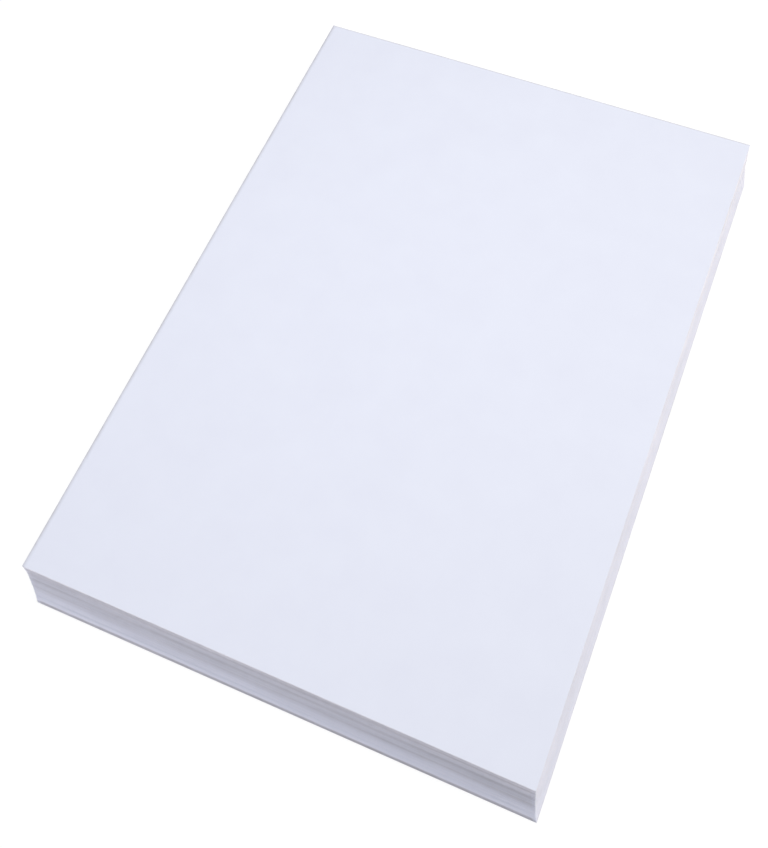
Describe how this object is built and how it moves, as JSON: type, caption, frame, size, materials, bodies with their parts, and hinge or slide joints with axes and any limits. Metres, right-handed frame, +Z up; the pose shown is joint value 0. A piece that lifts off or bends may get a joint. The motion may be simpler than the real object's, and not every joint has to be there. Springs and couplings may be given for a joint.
{
  "type": "stack of card stock",
  "caption": "Stack of loose A4 sheets of plain white card stock, lying face to face and leaning slightly, for printing and craft work.",
  "frame": {"origin": "on the surface that the stack lies on, under the middle of the stack", "axes": "+X along the sheets' short side to the right, +Y along their long side to the back, +Z up"},
  "size_m": [0.2146, 0.3052, 0.02],
  "materials": {
    "card": "matte"
  },
  "bodies": {
    "root": {"sheet_01": "card", "sheet_02": "card", "sheet_03": "card", "sheet_04": "card", "sheet_05": "card", "sheet_06": "card", "sheet_07": "card", "sheet_08": "card", "sheet_09": "card", "sheet_10": "card", "sheet_11": "card", "sheet_12": "card", "sheet_13": "card", "sheet_14": "card", "sheet_15": "card", "sheet_16": "card", "sheet_17": "card", "sheet_18": "card", "sheet_19": "card", "sheet_20": "card", "sheet_21": "card", "sheet_22": "card", "sheet_23": "card", "sheet_24": "card", "sheet_25": "card", "sheet_26": "card", "sheet_27": "card", "sheet_28": "card", "sheet_29": "card", "sheet_30": "card", "sheet_31": "card", "sheet_32": "card", "sheet_33": "card", "sheet_34": "card", "sheet_35": "card", "sheet_36": "card", "sheet_37": "card", "sheet_38": "card", "sheet_39": "card", "sheet_40": "card", "sheet_41": "card", "sheet_42": "card", "sheet_43": "card", "sheet_44": "card", "sheet_45": "card", "sheet_46": "card", "sheet_47": "card", "sheet_48": "card", "sheet_49": "card", "sheet_50": "card"}
  },
  "joints": []
}
